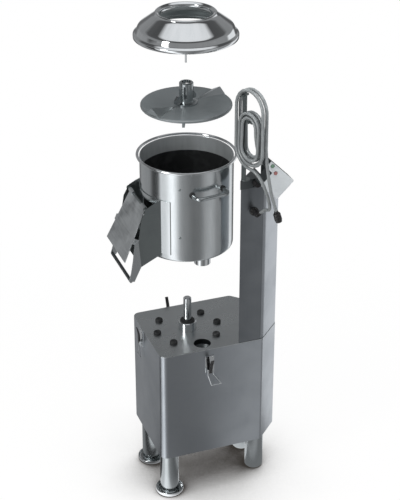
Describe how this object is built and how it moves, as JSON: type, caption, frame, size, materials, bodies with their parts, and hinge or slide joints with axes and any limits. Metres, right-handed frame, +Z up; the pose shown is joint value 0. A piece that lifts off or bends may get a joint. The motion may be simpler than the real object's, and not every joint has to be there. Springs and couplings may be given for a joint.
{
  "type": "electric potato peeler",
  "caption": "Floor-standing drum peeler with a rotating abrasive disc, discharge hatch, feed lid, control column and coiled water hose, shown lifted apart.",
  "frame": {"origin": "middle of the area the machine covers, on the floor, measured without the hose", "axes": "+Z up along the drum shaft, -Y to the front, -X towards the discharge chute"},
  "size_m": [0.672, 0.5786, 2.1271],
  "materials": {
    "brushed_sheet": "fine brushed stainless sheet",
    "polished_steel": "polished stainless",
    "disc_metal": "dull cast metal with an abrasive face",
    "lining": "dark rough lining",
    "black_rubber": "matt black rubber",
    "hose": "smooth grey hose",
    "panel_steel": "pale satin sheet",
    "motor_paint": "painted motor casting",
    "green_plastic": "glossy green button",
    "red_plastic": "glossy red button",
    "black_plastic": "matt black plastic"
  },
  "bodies": {
    "base": {"top_plate": "brushed_sheet", "cabinet_shell": "brushed_sheet", "base_frame": "brushed_sheet", "service_panel": "brushed_sheet", "leg_front_left": "brushed_sheet", "leg_back_left": "brushed_sheet", "leg_front_right": "brushed_sheet", "leg_back_right": "brushed_sheet", "foot_front_left": "polished_steel", "foot_back_left": "polished_steel", "bumper_pad_1": "black_rubber", "bumper_pad_2": "black_rubber", "bumper_pad_3": "black_rubber", "bumper_pad_4": "black_rubber", "bumper_pad_5": "black_rubber", "bumper_pad_6": "black_rubber", "bearing_housing": "polished_steel", "upper_bearing": "brushed_sheet", "lower_bearing": "brushed_sheet", "shaft_seal": "black_rubber", "motor_body": "motor_paint", "motor_bracket": "brushed_sheet", "drive_belt": "black_rubber", "drain_funnel": "brushed_sheet", "latch_base_front": "brushed_sheet", "latch_base_left": "brushed_sheet", "latch_base_back": "brushed_sheet", "column": "brushed_sheet", "column_head": "brushed_sheet", "box_post": "brushed_sheet", "hose_hanger": "brushed_sheet", "inlet_elbow": "black_plastic", "hose_coil": "hose", "hose_inlet_end": "hose", "hose_free_end": "hose", "hose_connector": "black_plastic"},
    "spindle": {"drive_shaft": "polished_steel", "driven_pulley": "disc_metal"},
    "motor_rotor": {"motor_pulley": "disc_metal"},
    "drum": {"drum_shell": "brushed_sheet", "drum_lining": "lining", "drum_handle": "polished_steel", "chute_frame": "brushed_sheet"},
    "hatch": {"hatch_door": "brushed_sheet"},
    "bail": {"hatch_bail": "polished_steel"},
    "disc": {"peeling_disc": "disc_metal", "disc_hub": "polished_steel"},
    "lid_body": {"lid": "polished_steel", "lid_peg": "brushed_sheet"},
    "box": {"control_box": "panel_steel"},
    "start": {"start_button": "green_plastic"},
    "stop": {"stop_button": "red_plastic"},
    "timer": {"timer_knob": "black_plastic"},
    "lever_front": {"latch_lever_front": "black_plastic"},
    "loop_front": {"latch_loop_front": "polished_steel"},
    "lever_left": {"latch_lever_left": "black_plastic"},
    "loop_left": {"latch_loop_left": "polished_steel"},
    "lever_back": {"latch_lever_back": "black_plastic"},
    "loop_back": {"latch_loop_back": "polished_steel"}
  },
  "joints": [
    {"name": "drum_lift", "type": "slide", "parent": "base", "child": "drum", "axis": [0, 0, 1], "range_m": [-0.404, 0]},
    {"name": "disc_lift", "type": "slide", "parent": "spindle", "child": "disc", "axis": [0, 0, 1], "range_m": [-0.96, 0]},
    {"name": "lid_lift", "type": "slide", "parent": "drum", "child": "lid_body", "axis": [0, 0, 1], "range_m": [-0.484, 0]},
    {"name": "shaft_spin", "type": "hinge", "parent": "base", "child": "spindle", "pos_m": [-0.03001, 0.02222, 0.7], "axis": [0, 0, 1], "continuous": true},
    {"name": "rotor_spin", "type": "hinge", "parent": "base", "child": "motor_rotor", "pos_m": [0.16999, 0.02222, 0.48], "axis": [0, 0, 1], "continuous": true},
    {"name": "hatch_swing", "type": "hinge", "parent": "drum", "child": "hatch", "pos_m": [-0.23701, 0.02222, 1.3723], "axis": [0, 1, 0], "range_deg": [-5, 70]},
    {"name": "bail_swing", "type": "hinge", "parent": "hatch", "child": "bail", "pos_m": [-0.28506, 0.02222, 1.2456], "axis": [0, 1, 0], "range_deg": [-10, 60]},
    {"name": "lever_front_swing", "type": "hinge", "parent": "base", "child": "lever_front", "pos_m": [-0.00201, -0.18178, 0.626], "axis": [1, 0, 0], "range_deg": [-5, 140]},
    {"name": "loop_front_swing", "type": "hinge", "parent": "lever_front", "child": "loop_front", "pos_m": [-0.00201, -0.18454, 0.63561], "axis": [1, 0, 0], "range_deg": [-140, 5]},
    {"name": "lever_left_swing", "type": "hinge", "parent": "base", "child": "lever_left", "pos_m": [-0.22601, 0.08322, 0.664], "axis": [0, -1, 0], "range_deg": [-5, 140]},
    {"name": "loop_left_swing", "type": "hinge", "parent": "lever_left", "child": "loop_left", "pos_m": [-0.22636, 0.08322, 0.67399], "axis": [0, -1, 0], "range_deg": [-140, 5]},
    {"name": "lever_back_swing", "type": "hinge", "parent": "base", "child": "lever_back", "pos_m": [-0.04401, 0.22622, 0.688], "axis": [-1, 0, 0], "range_deg": [-5, 140]},
    {"name": "loop_back_swing", "type": "hinge", "parent": "lever_back", "child": "loop_back", "pos_m": [-0.04401, 0.22897, 0.69761], "axis": [-1, 0, 0], "range_deg": [-140, 5]},
    {"name": "box_swivel", "type": "hinge", "parent": "base", "child": "box", "pos_m": [0.24699, -0.18178, 1.484], "axis": [0, 1, 0], "range_deg": [-5, 60]},
    {"name": "start_press", "type": "slide", "parent": "box", "child": "start", "axis": [0, 1, 0], "range_m": [0, 0.003], "stiffness_N_per_m": 300},
    {"name": "stop_press", "type": "slide", "parent": "box", "child": "stop", "axis": [0, 1, 0], "range_m": [0, 0.003], "stiffness_N_per_m": 300},
    {"name": "timer_turn", "type": "hinge", "parent": "base", "child": "timer", "pos_m": [0.19199, -0.18078, 1.461], "axis": [0, 1, 0], "range_deg": [0, 300]}
  ],
  "couplings": [
    {"joint": "disc_lift", "follows": "drum_lift", "ratio": 2.3762},
    {"joint": "lid_lift", "follows": "drum_lift", "ratio": 1.198},
    {"joint": "rotor_spin", "follows": "shaft_spin", "ratio": 3.3077},
    {"joint": "loop_front_swing", "follows": "lever_front_swing", "ratio": -1},
    {"joint": "loop_left_swing", "follows": "lever_left_swing", "ratio": -1},
    {"joint": "loop_back_swing", "follows": "lever_back_swing", "ratio": -1}
  ]
}
